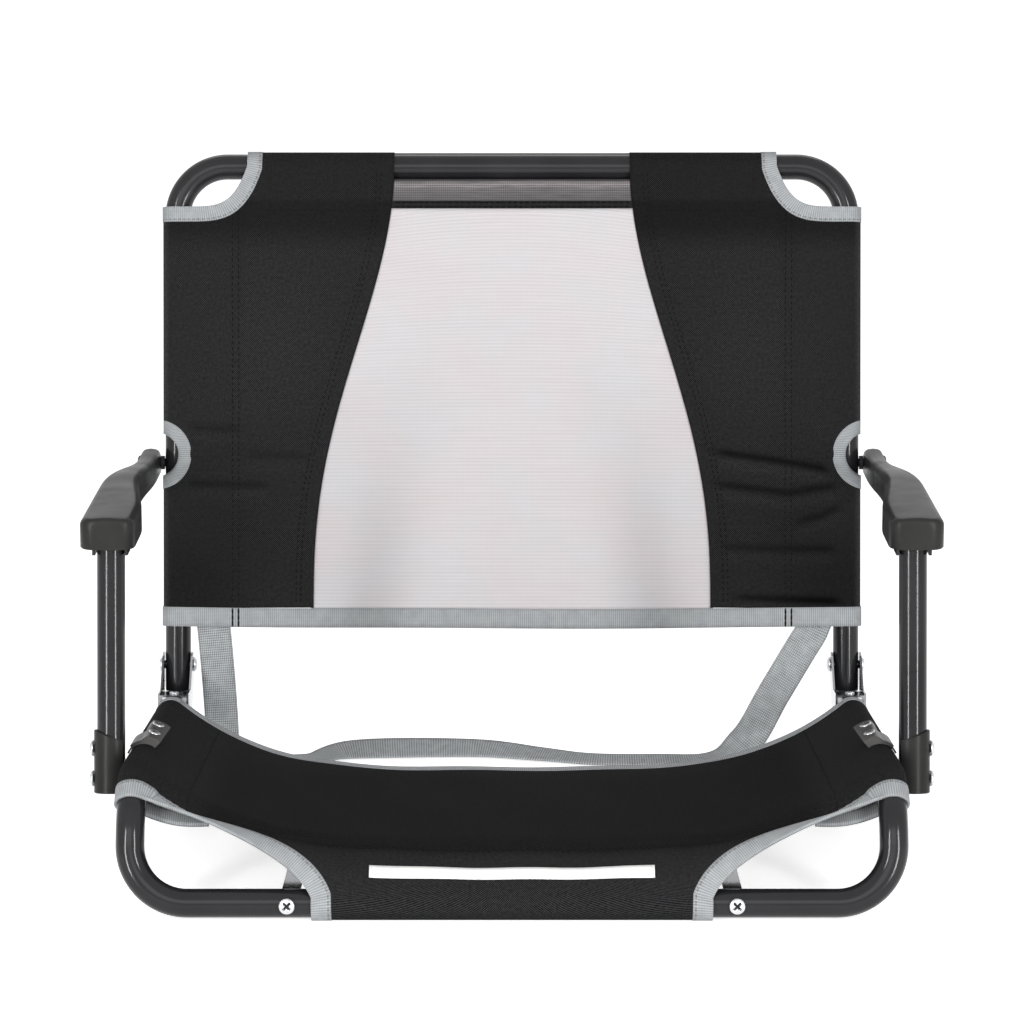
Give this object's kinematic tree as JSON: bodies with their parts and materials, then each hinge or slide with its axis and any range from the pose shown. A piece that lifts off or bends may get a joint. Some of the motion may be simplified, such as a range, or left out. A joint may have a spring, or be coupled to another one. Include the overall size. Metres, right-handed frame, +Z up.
{
  "type": "folding stadium chair",
  "caption": "Low folding stadium chair with a bent steel tube frame, sewn sling seat and back, mesh back centre, linked moulded armrests, swivel bench hooks and a carrying strap.",
  "frame": {"origin": "on the floor, at the middle of the chair's width and depth as it stands by itself", "axes": "+X to the right as seen from the front, -Y towards the front, +Z up"},
  "size_m": [0.58, 0.4943, 0.4366],
  "materials": {
    "black_steel": "glossy charcoal powder coat",
    "bright_plate": "bright plated sheet",
    "zinc_screws": "zinc plated",
    "black_fabric": "woven polyester",
    "white_mesh": "fine open mesh",
    "grey_webbing": "ribbed webbing",
    "grey_plastic": "moulded satin"
  },
  "bodies": {
    "seat": {"seat_frame": "black_steel", "seat_sling": "black_fabric", "hinge_bracket_left": "bright_plate", "hinge_bracket_right": "bright_plate", "hinge_pin_left": "zinc_screws", "hinge_pin_right": "zinc_screws", "rail_saddle_left": "grey_plastic", "rail_saddle_right": "grey_plastic", "post_pin_left": "zinc_screws", "post_pin_right": "zinc_screws", "front_bar_screw_left": "zinc_screws", "front_bar_screw_right": "zinc_screws", "carry_strap": "grey_webbing"},
    "back": {"back_frame": "black_steel", "back_panel_left": "black_fabric", "back_panel_right": "black_fabric", "back_mesh": "white_mesh", "back_hem": "grey_webbing", "arm_bolt_left": "black_steel", "arm_bolt_right": "black_steel"},
    "left_post": {"arm_post_left": "black_steel", "post_socket_left": "grey_plastic", "post_screw_lower_left": "zinc_screws", "post_screw_upper_left": "zinc_screws"},
    "right_post": {"arm_post_right": "black_steel", "post_socket_right": "grey_plastic", "post_screw_lower_right": "zinc_screws", "post_screw_upper_right": "zinc_screws"},
    "left_arm": {"armrest_left": "grey_plastic", "arm_clevis_left": "black_steel", "arm_screw_left": "zinc_screws"},
    "right_arm": {"armrest_right": "grey_plastic", "arm_clevis_right": "black_steel", "arm_screw_right": "zinc_screws"},
    "left_hook": {"bench_hook_left": "zinc_screws"},
    "right_hook": {"bench_hook_right": "zinc_screws"}
  },
  "joints": [
    {"name": "back_fold", "type": "hinge", "parent": "seat", "child": "back", "pos_m": [0, 0.15182, 0.0623], "axis": [1, 0, 0], "range_deg": [0, 88]},
    {"name": "left_post_fold", "type": "hinge", "parent": "seat", "child": "left_post", "pos_m": [-0.2715, -0.1312, 0.07411], "axis": [1, 0, 0], "range_deg": [0, 88]},
    {"name": "right_post_fold", "type": "hinge", "parent": "seat", "child": "right_post", "pos_m": [0.2715, -0.1312, 0.07411], "axis": [1, 0, 0], "range_deg": [0, 88]},
    {"name": "left_arm_pivot", "type": "hinge", "parent": "back", "child": "left_arm", "pos_m": [-0.2715, 0.18606, 0.20988], "axis": [1, 0, 0], "range_deg": [-88, 0]},
    {"name": "right_arm_pivot", "type": "hinge", "parent": "back", "child": "right_arm", "pos_m": [0.2715, 0.18606, 0.20988], "axis": [1, 0, 0], "range_deg": [-88, 0]},
    {"name": "left_hook_swivel", "type": "hinge", "parent": "seat", "child": "left_hook", "pos_m": [-0.147, -0.23465, 0.011], "axis": [0, 0.9901, -0.1403], "range_deg": [-195, 0]},
    {"name": "right_hook_swivel", "type": "hinge", "parent": "seat", "child": "right_hook", "pos_m": [0.147, -0.23465, 0.011], "axis": [0, 0.9901, -0.1403], "range_deg": [0, 195]}
  ],
  "couplings": [
    {"joint": "left_post_fold", "follows": "back_fold", "ratio": 1},
    {"joint": "right_post_fold", "follows": "back_fold", "ratio": 1},
    {"joint": "left_arm_pivot", "follows": "back_fold", "ratio": -1},
    {"joint": "right_arm_pivot", "follows": "back_fold", "ratio": -1}
  ]
}
